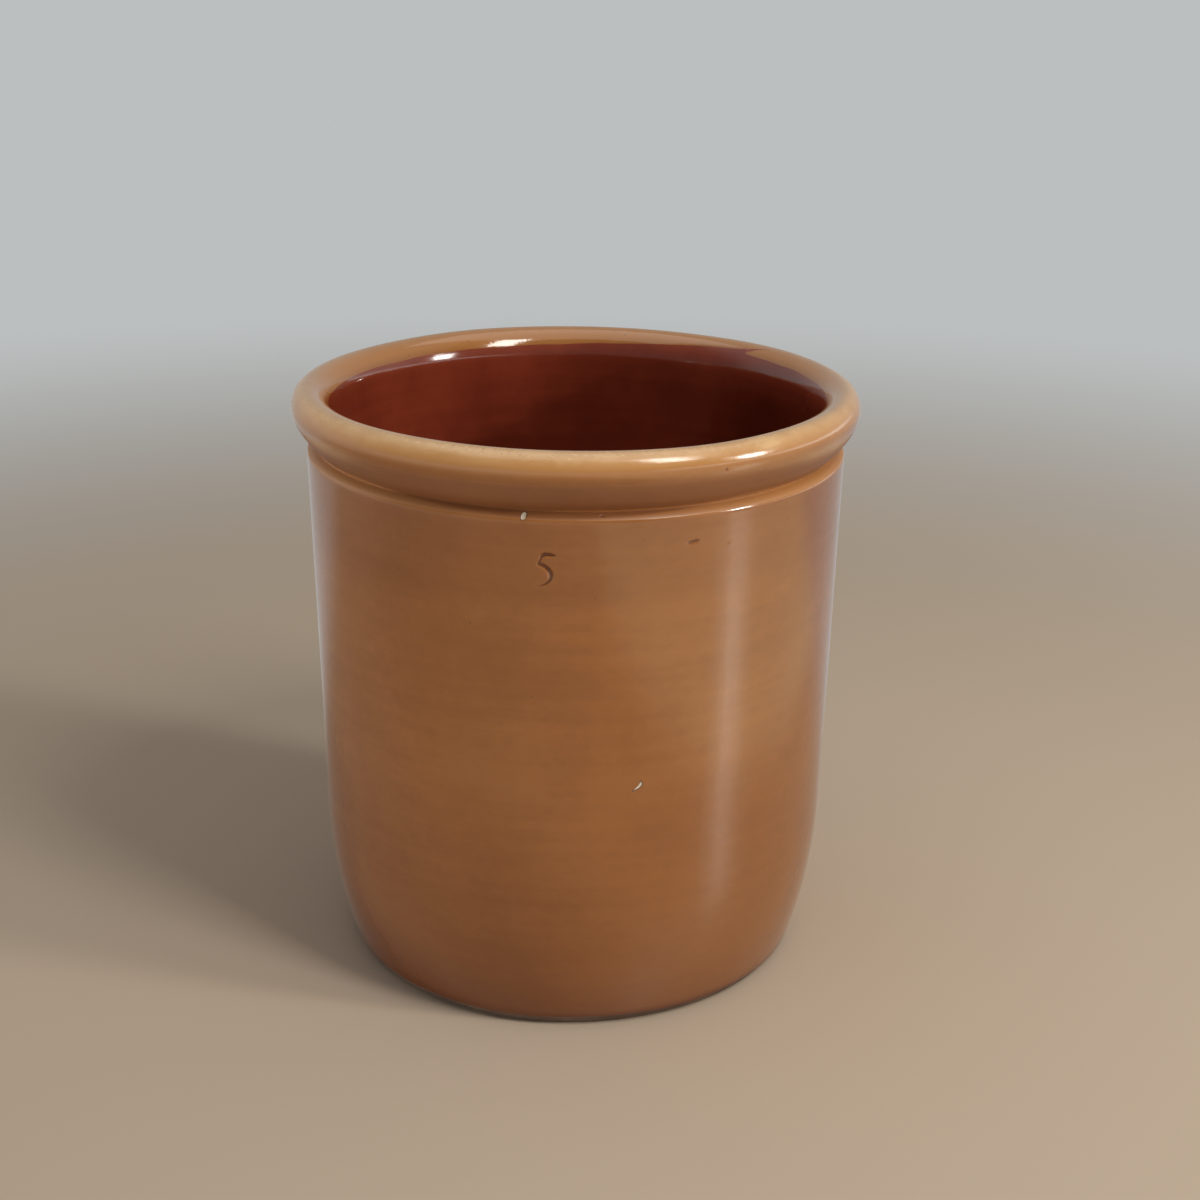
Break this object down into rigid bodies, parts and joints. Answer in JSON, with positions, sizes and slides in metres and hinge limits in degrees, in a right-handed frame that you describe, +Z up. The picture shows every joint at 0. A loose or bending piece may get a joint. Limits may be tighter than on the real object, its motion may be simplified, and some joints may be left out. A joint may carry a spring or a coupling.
{
  "type": "preserving crock",
  "caption": "Straight-sided stoneware preserving crock with a rolled rim, a tie groove and a capacity numeral, glazed ochre outside and red-brown inside.",
  "frame": {"origin": "centre of the flat underside", "axes": "+Z up along the turning axis; the stamped numeral faces -Y; +X to its right as seen from the front"},
  "size_m": [0.211, 0.211, 0.222],
  "materials": {
    "clay": "bare fired stoneware, matte",
    "ochre_glaze": "glossy ochre-brown glaze",
    "red_brown_glaze": "glossy dark red-brown glaze"
  },
  "bodies": {
    "root": {"clay_body": "clay", "outer_glaze": "ochre_glaze", "inner_glaze": "red_brown_glaze"}
  },
  "joints": []
}
